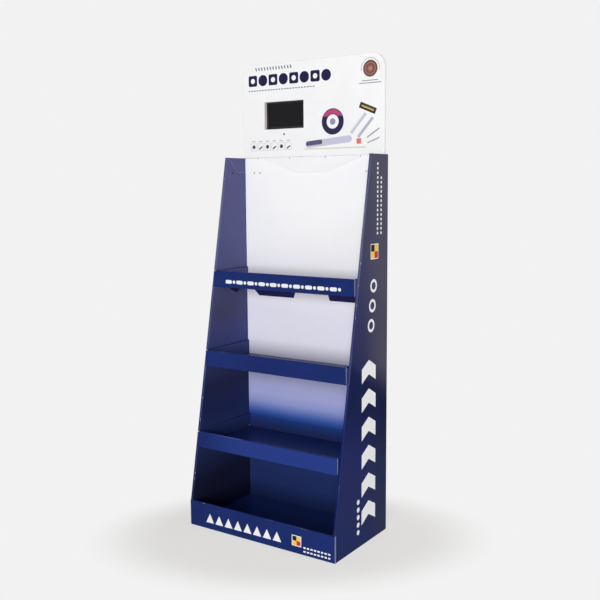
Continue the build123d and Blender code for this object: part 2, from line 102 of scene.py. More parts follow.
class Graph:
    """Short names for building a node tree."""

    def __init__(self, tree):
        self.nodes = tree.nodes
        self.links = tree.links

    def put(self, socket, value):
        """Links a socket to another node's output, or writes a plain value on it."""
        if isinstance(value, bpy.types.NodeSocket):
            self.links.new(value, socket)
        elif isinstance(value, tuple) and socket.type == "RGBA" and len(value) == 3:
            socket.default_value = colour(value)
        else:
            socket.default_value = value

    def math(self, operation, first, second=0.0, clamp=False):
        node = self.nodes.new("ShaderNodeMath")
        node.operation = operation
        node.use_clamp = clamp
        self.put(node.inputs[0], first)
        self.put(node.inputs[1], second)
        return node.outputs[0]

    def add(self, first, second):
        return self.math("ADD", first, second)

    def subtract(self, first, second):
        return self.math("SUBTRACT", first, second)

    def multiply(self, first, second):
        return self.math("MULTIPLY", first, second)

    def divide(self, first, second, clamp=False):
        return self.math("DIVIDE", first, second, clamp=clamp)

    def absolute(self, value):
        return self.math("ABSOLUTE", value)

    def sine(self, value):
        return self.math("SINE", value)

    def below(self, value, limit):
        """1 where value is less than the limit, with a hard edge."""
        return self.math("LESS_THAN", value, limit)

    def above(self, value, limit):
        """1 where value is more than the limit, with a hard edge."""
        return self.math("GREATER_THAN", value, limit)

    def all_of(self, *masks):
        """Where every mask is set."""
        result = masks[0]
        for mask in masks[1:]:
            result = self.math("MINIMUM", result, mask)
        return result

    def any_of(self, *masks):
        """Where at least one mask is set."""
        result = masks[0]
        for mask in masks[1:]:
            result = self.math("MAXIMUM", result, mask)
        return result

    def between(self, value, low, high):
        """1 where value lies between low and high, with hard edges."""
        return self.all_of(self.above(value, low), self.below(value, high))

    def slope(self, value, low, high):
        """A smooth ramp from 0 at low to 1 at high."""
        node = self.nodes.new("ShaderNodeMapRange")
        node.interpolation_type = "SMOOTHSTEP"
        self.put(node.inputs["Value"], value)
        node.inputs["From Min"].default_value = low
        node.inputs["From Max"].default_value = high
        return node.outputs["Result"]

    def mix(self, factor, first, second, blend="MIX"):
        node = self.nodes.new("ShaderNodeMix")
        node.data_type = "RGBA"
        node.blend_type = blend
        sockets = [socket for socket in node.inputs if socket.enabled]
        self.put(sockets[0], factor)
        self.put(sockets[1], first)
        self.put(sockets[2], second)
        return [socket for socket in node.outputs if socket.enabled][0]

    def place(self):
        """The x, y and z of the shaded point in the row frame."""
        coordinates = self.nodes.new("ShaderNodeTexCoord").outputs["Object"]
        split = self.nodes.new("ShaderNodeSeparateXYZ")
        self.links.new(coordinates, split.inputs[0])
        return coordinates, split.outputs[0], split.outputs[1], split.outputs[2]

    def stretched(self, coordinates, scale):
        """Coordinates scaled differently along each axis."""
        node = self.nodes.new("ShaderNodeMapping")
        self.put(node.inputs["Vector"], coordinates)
        node.inputs["Scale"].default_value = scale
        return node.outputs[0]

    def noise(self, coordinates, scale, detail=3.0, roughness=0.5):
        node = self.nodes.new("ShaderNodeTexNoise")
        self.put(node.inputs["Vector"], coordinates)
        node.inputs["Scale"].default_value = scale
        node.inputs["Detail"].default_value = detail
        node.inputs["Roughness"].default_value = roughness
        return node.outputs["Fac"]

    def ramp(self, value, stops, interpolation="LINEAR"):
        """A colour ramp with its stops as (place, written colour)."""
        node = self.nodes.new("ShaderNodeValToRGB")
        node.color_ramp.interpolation = interpolation
        elements = node.color_ramp.elements
        while len(elements) < len(stops):
            elements.new(1.0)
        for element, (position, rgb) in zip(elements, stops):
            element.position = position
            element.color = colour(rgb)
        self.put(node.inputs["Fac"], value)
        return node.outputs["Color"]

    def height_ramp(self, z, stops, top=1.3):
        """A colour ramp over height, with its stops as (metres, written colour)."""
        share = self.divide(z, top, clamp=True)
        return self.ramp(share, [(height / top, rgb) for height, rgb in stops])

    def turned(self, u, v, centre, degrees=0.0):
        """How far u and v are from a centre, along a direction at an angle to u and across it."""
        along = self.subtract(u, centre[0])
        across = self.subtract(v, centre[1])
        if not degrees:
            return along, across
        cosine, sine = math.cos(math.radians(degrees)), math.sin(math.radians(degrees))
        return (
            self.add(self.multiply(along, cosine), self.multiply(across, sine)),
            self.subtract(self.multiply(across, cosine), self.multiply(along, sine)),
        )

    def length(self, parts):
        """The length of a vector from its two parts."""
        return self.math("SQRT", self.add(*[self.multiply(part, part) for part in parts]))

    def distance(self, u, v, centre):
        """The distance in the plane of u and v from a centre."""
        return self.length(self.turned(u, v, centre))

    def step_along(self, value, start, pitch):
        """How far value is into its own step of a row that begins at start."""
        return self.multiply(self.math("FRACT", self.divide(self.subtract(value, start), pitch)), pitch)

    def disc(self, u, v, centre, radius):
        return self.below(self.distance(u, v, centre), radius)

    def patch(self, u, v, low, high, radius=0.0, tilt=0.0):
        """A rectangle from low to high in the plane of u and v, with rounded corners, and tilted."""
        centre = ((low[0] + high[0]) / 2, (low[1] + high[1]) / 2)
        half = ((high[0] - low[0]) / 2 - radius, (high[1] - low[1]) / 2 - radius)
        outside = [
            self.math("MAXIMUM", self.subtract(self.absolute(value), limit), 0.0)
            for value, limit in zip(self.turned(u, v, centre, tilt), half)
        ]
        if not radius:
            return self.below(self.add(*outside), 1e-6)
        return self.below(self.length(outside), radius)

    def stroke(self, u, v, start, end, width):
        """A straight line of the given width from start to end in the plane of u and v."""
        run = (end[0] - start[0], end[1] - start[1])
        along, across = self.turned(u, v, start, math.degrees(math.atan2(run[1], run[0])))
        near = self.below(self.absolute(across), width / 2)
        return self.all_of(near, self.between(along, 0.0, math.hypot(*run)))

    def bump(self, height, distance):
        node = self.nodes.new("ShaderNodeBump")
        node.inputs["Strength"].default_value = 1.0
        node.inputs["Distance"].default_value = distance
        self.put(node.inputs["Height"], height)
        return node.outputs["Normal"]

    def shader(self, kind, *values):
        """A shader or output node with its first inputs set in order, and its output if it has one."""
        node = self.nodes.new("ShaderNode" + kind)
        for socket, value in zip(node.inputs, values):
            self.put(socket, value)
        return node.outputs[0] if node.outputs else None

    def shows_background(self):
        """1 for the rays that see the background: camera, mirror and glass rays."""
        path = self.nodes.new("ShaderNodeLightPath")
        return self.any_of(*[path.outputs[f"Is {kind} Ray"] for kind in ("Camera", "Glossy", "Transmission")])


def empty_graph(owner):
    """A Graph on the cleared node tree of a material or a world."""
    owner.use_nodes = True
    owner.node_tree.nodes.clear()
    return Graph(owner.node_tree)


def new_material(name, base, shine=0.5, metallic=0.0):
    """A material whose base function draws colour, roughness and normal on a Graph."""
    material = bpy.data.materials.new(name)
    graph = empty_graph(material)
    surface = graph.shader("BsdfPrincipled")
    graph.shader("OutputMaterial", surface)
    sockets = surface.node.inputs
    for socket_name, value in base(graph).items():
        graph.put(sockets[socket_name], value)
    sockets["Specular IOR Level"].default_value = shine
    sockets["Metallic"].default_value = metallic
    return material


def paper_surface(graph, coordinates, print_colour, dullness, flute_scale, relief=0.00022):
    """Colour, roughness and bump of varnished print on corrugated card."""
    cloud = graph.noise(coordinates, 9.0, 4.0, 0.6)
    grain = graph.noise(coordinates, 900.0, 2.0)
    shade = graph.ramp(cloud, [(0.3, (252, 252, 252)), (0.7, (255, 255, 255))])
    painted = graph.mix(1.0, print_colour, shade, "MULTIPLY")
    fibre = graph.ramp(grain, [(0.3, (250, 250, 250)), (0.7, (255, 255, 255))])
    painted = graph.mix(1.0, painted, fibre, "MULTIPLY")
    flutes = graph.noise(graph.stretched(coordinates, flute_scale), 1.0, 1.0)
    height = graph.add(graph.multiply(flutes, 0.7), graph.multiply(grain, 0.12))
    roughness = graph.add(graph.multiply(cloud, 0.16), dullness)
    return {"Base Color": painted, "Roughness": roughness, "Normal": graph.bump(height, relief)}


# Flutes run up and down, so the washboard changes along x and y and hardly along z
UPRIGHT_FLUTES = (150.0, 150.0, 3.0)
FLUTES_ALONG_Y = (150.0, 3.0, 150.0)

# Least roughness of the varnished print, of a tray's floor, of the liner, and of folds and the header
SATIN = 0.36
FLOOR_VARNISH = 0.22
LINER_SATIN = 0.40
MATT = 0.42


# Print on the body wrap: each list has its stops as height and written colour. Beyond the navy print, the
# lists' rise and fall with height is painted sheen and painted shade

OUTER_FRONT_SHEEN_HEIGHTS = [
    (0.0, (31, 43, 94)),
    (0.15, (30, 38, 93)),
    (0.25, (27, 36, 93)),
    (0.33, (17, 28, 82)),
    (0.42, (5, 21, 71)),
    (0.51, (3, 19, 70)),
    (0.535, (11, 22, 74)),
    (0.56, (34, 43, 87)),
    (0.6, (43, 47, 87)),
    (0.66, (48, 50, 90)),
    (0.8, (57, 59, 97)),
    (0.93, (66, 68, 98)),
    (1.1, (71, 73, 99)),
    (1.3, (81, 82, 104)),
]
OUTER_REAR_SHEEN_HEIGHTS = [
    (0.1, (40, 45, 80)),
    (0.22, (29, 37, 76)),
    (0.3, (25, 36, 74)),
    (0.34, (19, 29, 66)),
    (0.42, (9, 18, 67)),
    (0.46, (3, 12, 62)),
    (0.505, (1, 7, 58)),
    (0.54, (18, 22, 66)),
    (0.565, (41, 43, 71)),
    (0.6, (64, 62, 85)),
    (0.64, (78, 76, 95)),
    (0.8, (74, 73, 93)),
    (0.92, (81, 79, 99)),
    (1.1, (79, 78, 97)),
    (1.2, (85, 82, 101)),
    (1.3, (84, 81, 102)),
]
# The front strips: navy print whose paling with height is painted sheen
STRIP_SHEEN_HEIGHTS = [
    (0.0, (9, 24, 80)),
    (0.12, (9, 25, 82)),
    (0.21, (8, 29, 88)),
    (0.3, (15, 36, 100)),
    (0.4, (15, 35, 100)),
    (0.5, (51, 60, 120)),
    (0.58, (48, 55, 114)),
    (0.66, (64, 67, 121)),
    (0.76, (46, 50, 106)),
    (0.86, (68, 72, 118)),
    (0.94, (88, 88, 125)),
    (1.02, (96, 96, 127)),
    (1.11, (106, 105, 137)),
    (1.22, (75, 76, 120)),
    (1.293, (70, 71, 115)),
]
# The inner walls, also used for the trays' walls: navy print, darker low down and under the trays as painted
# shade, and paler higher up as painted sheen
INNER_SHADE_AND_SHEEN_HEIGHTS = [
    (0.0, (27, 31, 59)),
    (0.14, (32, 35, 62)),
    (0.3, (50, 64, 116)),
    (0.39, (41, 50, 98)),
    (0.48, (44, 49, 86)),
    (0.6, (66, 76, 134)),
    (0.66, (74, 79, 135)),
    (0.75, (80, 81, 120)),
    (0.9, (96, 96, 145)),
    (1.02, (94, 97, 143)),
    (1.293, (93, 94, 139)),
]

# The outer side's painted sheen leans with depth, and its tones turn from the front ones to the rear ones
# between two depths
OUTER_MIDDLE = 0.06
OUTER_LEAN = 0.58
OUTER_BLEND = (-0.02, 0.14)

# Places on the body wrap: faces by their reach from the middle, the back by its depth, flaps by height
SIDE_FACE = 0.2985
INNER_FACE = 0.2925
CLOSURE_HALF = 0.2862
REAR_FACE = 0.1640
TOP_CLOSURE = 1.2
FLAP_FOOT = 1.239
FLAP_ZONE = FLAP_FOOT - 0.02
RIM_WIDTH = 0.0014
SIDE_HOLE = (0.081, 1.2385)
HOLE_EDGE_RADIUS = 0.0045
HOLE_VIEW_RADIUS = 0.011

# Places on the trays and the header: depths just behind their printed fronts, then heights
HEADER_LEAF_BACK = 0.1512
TOP_LIP_BACK = -0.030
LOWER_LIP_BACK = -0.130
BAND_BACK = -0.176
BASE_TOP = 0.1
LIPS_FROM = 0.3
LOWER_LIP_TOP = 0.35
TOP_EAR_HEIGHTS = (0.80, 0.8370)

# On the trays, the depth where the rear flaps begin, and the reach of their ends from the middle
REAR_FLAPS_FROM = 0.10
TRAY_END = 0.27

# Wear: the lips' slanted front line with its scuffed left corners, a rubbed stretch, and small spots
LIP_FRONT = -0.2108
LIP_LEAN = 0.1905
LIP_SCUFF = 0.0035
LIP_LEFT_CORNER = -0.2820
RUB_STARTS = (-0.26, -0.13)
RUB_ENDS = (-0.08, -0.11)
BAND_SCUFF = (-0.243, -0.237)
WORN_SPOT = (0.1465, 0.2890)
WORN_SPOT_RADIUS = 0.0027


def wrap_navy_and_sheen(graph, coordinates, x, y, z):
    """The wrap's ground colour: navy at the foot, paler with height as painted sheen, with painted shade low
    on the inner walls, and white at the back.
    """
    drift = graph.multiply(graph.subtract(graph.noise(coordinates, 2.2, 2.0), 0.5), 0.05)
    height = graph.add(z, drift)
    reach = graph.absolute(x)
    outer_face = graph.above(reach, SIDE_FACE)
    inner_face = graph.below(reach, INNER_FACE)
    slanted = graph.add(height, graph.multiply(graph.subtract(y, OUTER_MIDDLE), OUTER_LEAN))
    outer_front = graph.height_ramp(slanted, OUTER_FRONT_SHEEN_HEIGHTS)
    outer_rear = graph.height_ramp(slanted, OUTER_REAR_SHEEN_HEIGHTS)
    outer = graph.mix(graph.slope(y, *OUTER_BLEND), outer_front, outer_rear)
    ground = graph.mix(outer_face, graph.height_ramp(height, STRIP_SHEEN_HEIGHTS), outer)
    ground = graph.mix(inner_face, ground, graph.height_ramp(height, INNER_SHADE_AND_SHEEN_HEIGHTS))
    rear_face = graph.above(y, REAR_FACE)
    closure = graph.all_of(graph.below(reach, CLOSURE_HALF), graph.above(z, TOP_CLOSURE))
    return graph.mix(graph.any_of(rear_face, closure), ground, WHITE_PRINT), outer_face


def side_motifs(graph, y, z):
    """White shapes on the outer sides: a column of chevrons, small marks and fine lines."""
    middle, half, foot, lean, pitch, count = 0.038, 0.046, 0.070, 0.55, 0.096, 6
    first_z = foot + lean * half
    rise = graph.multiply(graph.absolute(graph.subtract(y, middle)), lean)
    step = graph.step_along(graph.add(z, rise), first_z, pitch)
    chevrons = graph.all_of(
        graph.below(step, pitch / 2),
        graph.between(y, middle - half, middle + half),
        graph.between(graph.add(z, rise), first_z, first_z + count * pitch),
    )
    inner_radius, outer_radius = 0.013, 0.022
    rings = []
    for centre in ((0.052, 0.735), (0.060, 0.800), (0.068, 0.865)):
        rings.append(graph.between(graph.distance(y, z, centre), inner_radius, outer_radius))
    dot_y, dot_radius, dot_pitch, first_z, dot_count = -0.030, 0.0085, 0.026, 0.040, 5
    dots = graph.all_of(
        graph.disc(y, graph.step_along(z, first_z, dot_pitch), (dot_y, dot_pitch / 2), dot_radius),
        graph.between(z, first_z, first_z + dot_count * dot_pitch),
    )
    dash_pitch, gap, dash_size, corner = 0.0150, 0.002, 0.0085, 0.002
    fine_rows = []
    for row_y, low_z, high_z in ((0.088, 1.030, 1.270), (0.112, 1.030, 1.220)):
        low, high = (row_y, gap), (row_y + dash_size, gap + dash_size)
        dash = graph.patch(y, graph.step_along(z, low_z, dash_pitch), low, high, corner)
        fine_rows.append(graph.all_of(dash, graph.between(z, low_z, high_z)))
    return graph.any_of(chevrons, dots, *rings, *fine_rows)


def quartered_patch(graph, colour_under, u, v, low, high):
    """A patch of four plain squares in a white border, drawn on colour_under."""
    border = 0.0025
    border_low = (low[0] - border, low[1] - border)
    border_high = (high[0] + border, high[1] + border)
    drawn = graph.mix(graph.patch(u, v, border_low, border_high), colour_under, WHITE_PRINT)
    inside = graph.patch(u, v, low, high)
    right_half = graph.above(u, (low[0] + high[0]) / 2)
    upper_half = graph.above(v, (low[1] + high[1]) / 2)
    lower_row = graph.mix(right_half, SIGNAL_YELLOW, SIGNAL_RED)
    upper_row = graph.mix(right_half, SIGNAL_BLACK, SIGNAL_YELLOW)
    return graph.mix(inside, drawn, graph.mix(upper_half, lower_row, upper_row))


def flap_rims(graph, ground, x, y, z):
    """Faint pale lines: the side flaps' slanted and lower edges, and the tuck flap's slanted edge."""
    lower, upper = FLAP_FOOT + RIM_WIDTH, FLAP_FOOT + 0.050
    slanted_edge = ((0.058, upper), (0.105, lower))
    lower_edge = ((0.112, lower), (0.152, lower))
    tuck_edge = ((-0.206, 1.2905), (-0.0535, FLAP_FOOT - 0.002))
    tuck_depths, tuck_half = (0.140, 0.160), 0.25
    inner = graph.between(graph.absolute(x), CLOSURE_HALF - 0.003, INNER_FACE)
    side_rim = graph.any_of(*[graph.stroke(y, z, *edge, RIM_WIDTH) for edge in (slanted_edge, lower_edge)])
    drawn = graph.mix(graph.all_of(inner, side_rim), ground, graph.mix(0.42, ground, SCUFF))
    face = graph.all_of(graph.between(y, *tuck_depths), graph.below(graph.absolute(x), tuck_half))
    tuck_rim = graph.stroke(x, z, *tuck_edge, 1.4 * RIM_WIDTH)
    return graph.mix(graph.all_of(face, tuck_rim), drawn, PALE_RIM_WHITE)


# The wrap's print on its ground colour, with that colour's painted sheen and shade
def wrap_print_and_sheen(graph):
    coordinates, x, y, z = graph.place()
    ground, outer_face = wrap_navy_and_sheen(graph, coordinates, x, y, z)
    ground = flap_rims(graph, ground, x, y, z)
    marked = graph.mix(side_motifs(graph, y, z), ground, WHITE_PRINT)
    marked = quartered_patch(graph, marked, y, z, (0.050, 0.955), (0.096, 1.000))
    return paper_surface(graph, coordinates, graph.mix(outer_face, ground, marked), SATIN, UPRIGHT_FLUTES)


# The wrap's folds on its ground colour, with that colour's painted sheen and shade
def wrap_crease(graph):
    coordinates, x, y, z = graph.place()
    ground, _ = wrap_navy_and_sheen(graph, coordinates, x, y, z)
    return fold_surface(graph, coordinates, worn_fold(graph, ground, coordinates, 1.0))


# Print on the other sheets

# The liner's print fades from navy to white; its darker stops from 0.45 to 0.5 m are a painted shadow under
# the middle tray
LINER_PRINT_AND_SHADOW_HEIGHTS = [
    (0.0, (32, 46, 96)),
    (0.3, (40, 55, 108)),
    (0.328, (33, 62, 134)),
    (0.345, (57, 88, 166)),
    (0.36, (91, 116, 190)),
    (0.39, (154, 164, 221)),
    (0.42, (173, 178, 227)),
    (0.45, (173, 176, 222)),
    (0.48, (161, 163, 201)),
    (0.5, (156, 158, 197)),
    (0.58, (240, 240, 255)),
    (0.6, (245, 244, 255)),
    (0.66, (244, 242, 255)),
    (0.74, (243, 241, 254)),
    (0.92, (252, 251, 255)),
    (1.0, (254, 254, 255)),
]


# The liner's print, with the painted shadow under the middle tray
def liner_print_and_shadow(graph):
    coordinates, _, _, z = graph.place()
    drift = graph.multiply(graph.subtract(graph.noise(coordinates, 3.0, 2.0), 0.5), 0.01)
    fading = graph.height_ramp(graph.add(z, drift), LINER_PRINT_AND_SHADOW_HEIGHTS)
    return paper_surface(graph, coordinates, fading, LINER_SATIN, UPRIGHT_FLUTES)


def clouded(graph, coordinates, dark, pale):
    """A ground colour that drifts between a darker and a paler tone."""
    return graph.ramp(graph.noise(coordinates, 5.0, 3.0, 0.6), [(0.3, dark), (0.7, pale)])


def plain_navy(graph, extra=None):
    """Varnished navy print, with what the function extra draws on it."""
    coordinates, x, y, z = graph.place()
    navy = clouded(graph, coordinates, DEEP_NAVY, NAVY)
    drawn = extra(graph, navy, x, y, z) if extra else navy
    return paper_surface(graph, coordinates, drawn, SATIN, FLUTES_ALONG_Y)


def shelf_floor(graph):
    """Varnished navy floor of a tray, smooth enough to mirror the liner at a shallow angle, and paler on the
    base tray as painted light.
    """
    coordinates, _, _, z = graph.place()
    navy = clouded(graph, coordinates, SHELF_NAVY, PALE_SHELF_NAVY)
    navy = graph.mix(graph.below(z, BASE_TOP), navy, LIT_BASE_FLOOR_NAVY)
    return paper_surface(graph, coordinates, navy, FLOOR_VARNISH, FLUTES_ALONG_Y, relief=0.00005)


def tray_wall(graph):
    """Side walls of a tray, like the stand's inner walls with their painted shade and sheen, with top ears
    darkened as painted shade and a worn spot low down.
    """
    coordinates, _, y, z = graph.place()
    ear = graph.between(z, *TOP_EAR_HEIGHTS)
    drawn = graph.mix(ear, graph.height_ramp(z, INNER_SHADE_AND_SHEEN_HEIGHTS), SHADED_EAR_NAVY)
    spot = graph.disc(y, z, WORN_SPOT, WORN_SPOT_RADIUS)
    drawn = graph.mix(spot, drawn, PALE_SCUFF)
    return paper_surface(graph, coordinates, drawn, SATIN, FLUTES_ALONG_Y)


def lower_lip_painted_light(graph, navy, x, y, z):
    """A paler blue over the lower lip's front, away from its left end, as painted light."""
    fade_span = (-0.30, -0.06)
    fade = graph.slope(x, *fade_span)
    return graph.mix(graph.multiply(graph.below(y, LOWER_LIP_BACK), fade), navy, LIT_LOWER_LIP_NAVY)


def top_lip_motifs_and_flap_shade(graph, navy, x, y, z):
    """A row of bars and dots in white along the top lip's front, and darker navy on the rear flaps as painted
    shade under the tray.
    """
    navy = graph.mix(graph.above(y, REAR_FLAPS_FROM), navy, SHADED_REAR_FLAP_NAVY)
    pitch, start, count = 0.048, -0.236, 10
    bar_low, bar_high, corner = (0.001, 0.8525), (0.029, 0.8655), 0.006
    dot_centre, dot_radius = (0.0385, 0.859), 0.0058
    step = graph.step_along(x, start, pitch)
    shapes = graph.any_of(
        graph.patch(step, z, bar_low, bar_high, corner),
        graph.disc(step, z, dot_centre, dot_radius),
    )
    within = graph.between(x, start, start + count * pitch)
    return graph.mix(graph.all_of(shapes, within, graph.below(y, TOP_LIP_BACK)), navy, LIP_WHITE)


def band_motifs(graph, navy, x, y, z):
    """Triangles, a quartered patch and two fine rows in white on the base band."""
    pitch, start, count = 0.041, -0.232, 8
    foot_z, tip_rise, half_width = 0.024, 0.033, 0.42 * pitch
    step = graph.step_along(x, start, pitch)
    share = graph.divide(graph.absolute(graph.subtract(step, pitch / 2)), half_width)
    height = graph.divide(graph.subtract(z, foot_z), tip_rise)
    triangles = graph.all_of(
        graph.below(graph.add(share, height), 1.0),
        graph.above(height, 0.0),
        graph.between(x, start, start + count * pitch),
    )
    row_start, row_end, dash_pitch, dash_height, corner = 0.180, 0.288, 0.0135, 0.0055, 0.001
    rows = []
    for low_z in (foot_z, 0.011):
        low, high = (0.001, low_z), (0.010, low_z + dash_height)
        dash = graph.patch(graph.step_along(x, row_start, dash_pitch), z, low, high, corner)
        rows.append(graph.all_of(dash, graph.between(x, row_start, row_end)))
    marked = graph.mix(graph.any_of(triangles, *rows), navy, WHITE_PRINT)
    marked = quartered_patch(graph, marked, x, z, (0.138, 0.028), (0.170, 0.059))
    return graph.mix(graph.below(y, BAND_BACK), navy, marked)


def header_frieze(graph, drawn, x, z):
    """A row of discs and rounded squares in dark ink, with fine rows over and under it."""
    pitch, start, count = 0.0445, -0.266, 8
    centre, square_half, corner, hole_radius, disc_radius = (0.0205, 1.5650), 0.019, 0.006, 0.009, 0.0195
    low, high = [(centre[0] + half, centre[1] + half) for half in (-square_half, square_half)]
    step = graph.step_along(x, start, pitch)
    square = graph.patch(step, z, low, high, corner)
    hole = graph.disc(step, z, centre, hole_radius)
    odd = graph.below(graph.step_along(x, start, 2 * pitch), pitch)
    disc = graph.disc(step, z, centre, disc_radius)
    shapes = graph.mix(odd, disc, graph.math("SUBTRACT", square, hole, clamp=True))
    row = graph.all_of(shapes, graph.between(x, start, start + count * pitch))
    drawn = graph.mix(row, drawn, DARK_INK)
    fine_lines = []
    for first, last, dash_pitch, low, high, tilt in (
        (-0.236, -0.0735, 0.0125, (0.0035, 1.5990), (0.0085, 1.6110), 18.0),
        (-0.266, 0.022, 0.012, (0.001, 1.5285), (0.0085, 1.5325), 0.0),
    ):
        dash = graph.patch(graph.step_along(x, first, dash_pitch), z, low, high, 0.001, tilt)
        fine_lines.append(graph.all_of(dash, graph.between(x, first, last)))
    return graph.mix(graph.any_of(*fine_lines), drawn, GREY_INK)


def header_boxes(graph, drawn, x, z):
    """Six small framed boxes with a plain mark in each and a short line over it."""
    pitch, start, count = 0.0305, -0.259, 6
    step = graph.step_along(x, start, pitch)
    within = graph.between(x, start, start + count * pitch)
    box_low, box_high, rim, corner = (0.001, 1.3180), (0.0280, 1.3450), 0.0012, 0.001
    inner_low = (box_low[0] + rim, box_low[1] + rim)
    inner_high = (box_high[0] - rim, box_high[1] - rim)
    box_grey, mark_grey, line_grey = (204, 204, 210), (70, 70, 88), (176, 176, 188)
    outline = graph.patch(step, z, box_low, box_high, corner)
    inside = graph.patch(step, z, inner_low, inner_high, corner)
    odd = graph.below(graph.step_along(x, start, 2 * pitch), pitch)
    disc = graph.disc(step, z, (0.0145, 1.3315), 0.0068)
    bar = graph.patch(step, z, (0.006, 1.3255), (0.023, 1.3305), corner, 32.0)
    mark = graph.mix(odd, bar, disc)
    upper = graph.patch(step, z, (0.006, 1.3500), (0.022, 1.3525), corner)
    for shape, tone in ((outline, box_grey), (inside, WHITE_PRINT), (mark, mark_grey), (upper, line_grey)):
        drawn = graph.mix(graph.all_of(within, shape), drawn, tone)
    return drawn


def header_shapes(graph, drawn, x, z):
    """A ring with a pink band, and level, tilted and slanted bars."""
    centre, hub, hole, rim, band, band_rise = (0.092, 1.408), 0.011, 0.024, 0.044, (0.027, 0.041), 0.018
    ring_ink, band_pink, hub_grey = (48, 44, 84), (196, 74, 128), (150, 150, 186)
    reach = graph.distance(x, z, centre)
    drawn = graph.mix(graph.between(reach, hole, rim), drawn, ring_ink)
    upper = graph.all_of(graph.between(reach, *band), graph.above(z, centre[1] + band_rise))
    drawn = graph.mix(upper, drawn, band_pink)
    drawn = graph.mix(graph.below(reach, hub), drawn, hub_grey)
    # Each bar has its lower left and upper right corner, corner radius, tilt in degrees and colour
    bars = [
        ((-0.024, 1.3165), (0.222, 1.3205), 0.001, 0.0, (226, 214, 196)),
        ((-0.020, 1.3290), (0.168, 1.3520), 0.0115, 5.0, (202, 202, 222)),
        ((-0.018, 1.3310), (0.050, 1.3470), 0.008, 5.0, (92, 92, 124)),
        ((0.196, 1.436), (0.262, 1.456), 0.002, -22.0, (58, 52, 56)),
        ((0.204, 1.443), (0.254, 1.449), 0.002, -22.0, (196, 170, 96)),
        ((0.150, 1.392), (0.236, 1.403), 0.002, 48.0, (206, 206, 224)),
        ((0.178, 1.378), (0.262, 1.388), 0.002, 48.0, (182, 182, 206)),
        ((0.222, 1.362), (0.278, 1.3665), 0.002, 32.0, (150, 150, 168)),
        ((0.226, 1.338), (0.276, 1.3425), 0.002, 20.0, (168, 168, 184)),
        ((0.186, 1.330), (0.204, 1.348), 0.002, 0.0, (222, 120, 112)),
    ]
    for low, high, corner, tilt, rgb in bars:
        drawn = graph.mix(graph.patch(x, z, low, high, corner, tilt), drawn, rgb)
    return drawn


def bronze_disc(graph, drawn, x, z):
    """A bronze-coloured disc with plain rings, half a ring of dots and two lines."""
    centre, radius, ramp_radius = (0.238, 1.573), 0.027, 0.028
    dot_count, dot_ring, dots_from_z = 36, (0.0325, 0.0355), 1.566
    tones = [
        (0.0, (196, 150, 136)),
        (0.30, (150, 104, 92)),
        (0.58, (112, 72, 64)),
        (0.66, (178, 134, 120)),
        (0.78, (120, 80, 70)),
        (1.0, (92, 58, 54)),
    ]
    reach = graph.distance(x, z, centre)
    bronze = graph.ramp(graph.divide(reach, ramp_radius, clamp=True), tones)
    drawn = graph.mix(graph.below(reach, radius), drawn, bronze)
    angle = graph.math("ARCTAN2", graph.subtract(z, centre[1]), graph.subtract(x, centre[0]))
    dotted = graph.below(graph.math("FRACT", graph.multiply(angle, dot_count / (2 * math.pi))), 0.5)
    halo = graph.all_of(dotted, graph.between(reach, *dot_ring), graph.above(z, dots_from_z))
    upper_line = graph.patch(x, z, (0.206, 1.5335), (0.268, 1.5360), 0.001)
    lower_line = graph.patch(x, z, (0.196, 1.5255), (0.280, 1.5280), 0.001)
    return graph.mix(graph.any_of(halo, upper_line, lower_line), drawn, GREY_INK)


def header_motifs(graph, x, z):
    """Plain generic shapes on the white header."""
    drawn = WHITE_PRINT
    for draw in (header_frieze, header_boxes, header_shapes, bronze_disc):
        drawn = draw(graph, drawn, x, z)
    return drawn


def header_print(graph):
    coordinates, x, y, z = graph.place()
    drawn = graph.mix(graph.below(y, HEADER_LEAF_BACK), WHITE_PRINT, header_motifs(graph, x, z))
    return paper_surface(graph, coordinates, drawn, MATT, UPRIGHT_FLUTES)


# Creases, cut edges and the unprinted side

def fold_surface(graph, coordinates, worn):
    return paper_surface(graph, coordinates, worn, MATT, UPRIGHT_FLUTES)


def worn_fold(graph, print_colour, coordinates, wear):
    """Print along a fold: rubbed paler in stretches, and cracked to white in a few short scuffs."""
    streaks = graph.noise(coordinates, 60.0, 4.0, 0.65)
    stretches = graph.noise(coordinates, 7.0, 2.0)
    rub = graph.multiply(graph.slope(stretches, 0.40, 0.70), wear * 0.16)
    rubbed = graph.mix(rub, print_colour, RUBBED_BLUE)
    scuffs = graph.slope(graph.add(streaks, graph.multiply(stretches, 0.45)), 0.84, 0.93)
    return graph.mix(graph.multiply(scuffs, wear * 0.7), rubbed, SCUFF)


def crease_material(name, heights, wear):
    """A material for folds whose print colour follows the sheet's own heights."""

    def base(graph):
        coordinates, _, _, z = graph.place()
        under = graph.height_ramp(z, heights)
        return fold_surface(graph, coordinates, worn_fold(graph, under, coordinates, wear))

    return new_material(name, base, FOLD_SHINE)


